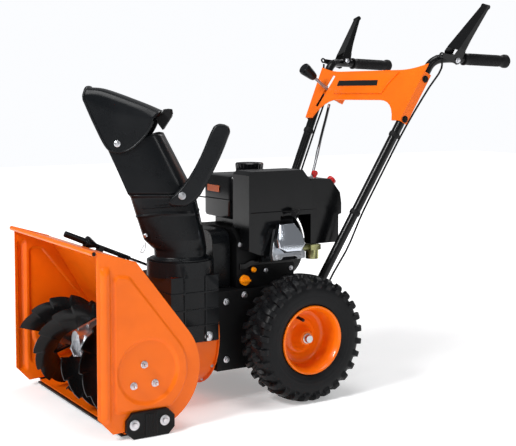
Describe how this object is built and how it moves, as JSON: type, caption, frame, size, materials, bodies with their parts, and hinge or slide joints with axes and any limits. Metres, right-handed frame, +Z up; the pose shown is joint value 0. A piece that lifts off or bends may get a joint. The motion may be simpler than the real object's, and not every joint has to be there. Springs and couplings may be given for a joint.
{
  "type": "snow blower",
  "caption": "Walk-behind two-stage petrol snow blower: wide auger housing, swivelling discharge chute with tilting hood, engine, treaded wheels and handlebars with clutch levers.",
  "frame": {"origin": "middle of the machine's footprint, on the ground", "axes": "+Y from the auger mouth towards the operator, +Z up, +X towards the machine's left side"},
  "size_m": [0.6262, 1.2875, 1.0556],
  "materials": {
    "orange_paint": "glossy powder coat",
    "black_paint": "satin black paint",
    "black_plastic": "fine-grained moulded plastic",
    "gloss_plastic": "smooth semi-gloss moulding",
    "grip_rubber": "ribbed soft rubber",
    "tyre_rubber": "moulded tread, matt",
    "bare_steel": "zinc plated",
    "cast_alloy": "as cast, fettled",
    "red_plastic": "glossy",
    "amber_plastic": "glossy"
  },
  "bodies": {
    "machine": {"auger_housing": "orange_paint", "left_side_plate": "orange_paint", "right_side_plate": "orange_paint", "impeller_drum": "orange_paint", "dash_panel": "orange_paint", "scraper_bar": "black_paint", "left_skid_shoe": "black_paint", "right_skid_shoe": "black_paint", "frame_box": "black_paint", "crankcase": "black_paint", "left_handle_tube": "black_paint", "right_handle_tube": "black_paint", "chute_base": "black_plastic", "tool_bracket": "black_plastic", "belt_cover": "black_plastic", "engine_shroud": "gloss_plastic", "fuel_tank": "gloss_plastic", "carburettor_cover": "gloss_plastic", "recoil_cover": "gloss_plastic", "left_grip": "grip_rubber", "right_grip": "grip_rubber", "auger_belt": "grip_rubber", "traction_belt": "grip_rubber", "left_control_cable": "grip_rubber", "right_control_cable": "grip_rubber", "left_auger_bearing": "bare_steel", "right_auger_bearing": "bare_steel", "muffler": "bare_steel", "auger_gearbox": "cast_alloy", "cylinder_head": "cast_alloy", "valve_cover": "cast_alloy", "carburettor": "cast_alloy"},
    "augers": {"auger_shaft": "bare_steel", "left_auger": "black_paint", "right_auger": "black_paint"},
    "impeller": {"impeller": "black_paint", "impeller_shaft": "bare_steel", "impeller_pulley": "bare_steel"},
    "crankshaft": {"crankshaft": "bare_steel"},
    "friction_disc": {"friction_disc": "bare_steel"},
    "friction_wheel": {"friction_wheel": "bare_steel"},
    "chute": {"chute": "black_plastic", "chute_handle": "black_plastic"},
    "deflector": {"deflector": "black_plastic", "deflector_knob": "black_plastic"},
    "cleanout_tool": {"cleanout_tool": "black_plastic"},
    "wheels": {"axle": "bare_steel", "left_rim": "orange_paint", "right_rim": "orange_paint", "left_tyre": "tyre_rubber", "right_tyre": "tyre_rubber"},
    "left_clutch_lever": {"left_clutch_lever": "black_paint"},
    "right_clutch_lever": {"right_clutch_lever": "black_paint"},
    "gear_lever": {"gear_lever": "bare_steel", "gear_knob": "black_plastic"},
    "choke_knob": {"choke_knob": "red_plastic"},
    "ignition_key": {"ignition_key": "red_plastic"},
    "fuel_cap": {"fuel_cap": "gloss_plastic"},
    "oil_cap": {"oil_cap": "amber_plastic"},
    "recoil_grip": {"recoil_grip": "grip_rubber"}
  },
  "joints": [
    {"name": "auger_spin", "type": "hinge", "parent": "machine", "child": "augers", "pos_m": [0, -0.51425, 0.139], "axis": [1, 0, 0], "continuous": true},
    {"name": "impeller_spin", "type": "hinge", "parent": "machine", "child": "impeller", "pos_m": [0, -0.30125, 0.177], "axis": [0, -1, 0], "continuous": true},
    {"name": "crank_spin", "type": "hinge", "parent": "machine", "child": "crankshaft", "pos_m": [0, -0.07125, 0.385], "axis": [0, 1, 0], "continuous": true},
    {"name": "friction_disc_spin", "type": "hinge", "parent": "machine", "child": "friction_disc", "pos_m": [0, -0.16125, 0.19], "axis": [0, 1, 0], "continuous": true},
    {"name": "wheel_spin", "type": "hinge", "parent": "machine", "child": "wheels", "pos_m": [0, -0.02525, 0.165], "axis": [1, 0, 0], "continuous": true},
    {"name": "friction_wheel_spin", "type": "hinge", "parent": "machine", "child": "friction_wheel", "pos_m": [0, -0.10075, 0.19], "axis": [1, 0, 0], "continuous": true},
    {"name": "chute_turn", "type": "hinge", "parent": "machine", "child": "chute", "pos_m": [0.068, -0.30725, 0.376], "axis": [0, 0, 1], "range_deg": [-58, 122]},
    {"name": "deflector_tilt", "type": "hinge", "parent": "chute", "child": "deflector", "pos_m": [-0.01255, -0.43615, 0.677], "axis": [0.848, -0.5299, 0], "range_deg": [0, 35]},
    {"name": "left_lever_press", "type": "hinge", "parent": "machine", "child": "left_clutch_lever", "pos_m": [0.2596, 0.44675, 0.9013], "axis": [-0.9636, 0, 0.2672], "range_deg": [0, 40], "stiffness_Nm_per_rad": 2, "springref_deg": -11.46},
    {"name": "right_lever_press", "type": "hinge", "parent": "machine", "child": "right_clutch_lever", "pos_m": [-0.2596, 0.44675, 0.9013], "axis": [-0.9636, 0, -0.2672], "range_deg": [0, 40], "stiffness_Nm_per_rad": 2, "springref_deg": -11.46},
    {"name": "gear_select", "type": "hinge", "parent": "machine", "child": "gear_lever", "pos_m": [-0.184, 0.38044, 0.78394], "axis": [0.9703, -0.1103, -0.2153], "range_deg": [-16, 28]},
    {"name": "choke_turn", "type": "hinge", "parent": "machine", "child": "choke_knob", "pos_m": [0.1, 0.14175, 0.5568], "axis": [0, 0.7727, 0.6347], "range_deg": [-75, 0]},
    {"name": "key_pull", "type": "slide", "parent": "machine", "child": "ignition_key", "axis": [0, 0, 1], "range_m": [0, 0.012]},
    {"name": "fuel_cap_turn", "type": "hinge", "parent": "machine", "child": "fuel_cap", "pos_m": [-0.03, -0.03925, 0.6], "axis": [0, 0, 1], "range_deg": [0, 90]},
    {"name": "oil_cap_turn", "type": "hinge", "parent": "machine", "child": "oil_cap", "pos_m": [0.125, -0.14525, 0.312], "axis": [1, 0, 0], "continuous": true},
    {"name": "recoil_pull", "type": "slide", "parent": "machine", "child": "recoil_grip", "axis": [0, 1, 0], "range_m": [0, 0.55]},
    {"name": "cleanout_lift", "type": "slide", "parent": "machine", "child": "cleanout_tool", "axis": [0, 0.3952, 0.9186], "range_m": [0, 0.06]}
  ],
  "couplings": [
    {"joint": "impeller_spin", "follows": "auger_spin", "ratio": 10},
    {"joint": "friction_wheel_spin", "follows": "wheel_spin", "ratio": -3.2086}
  ]
}
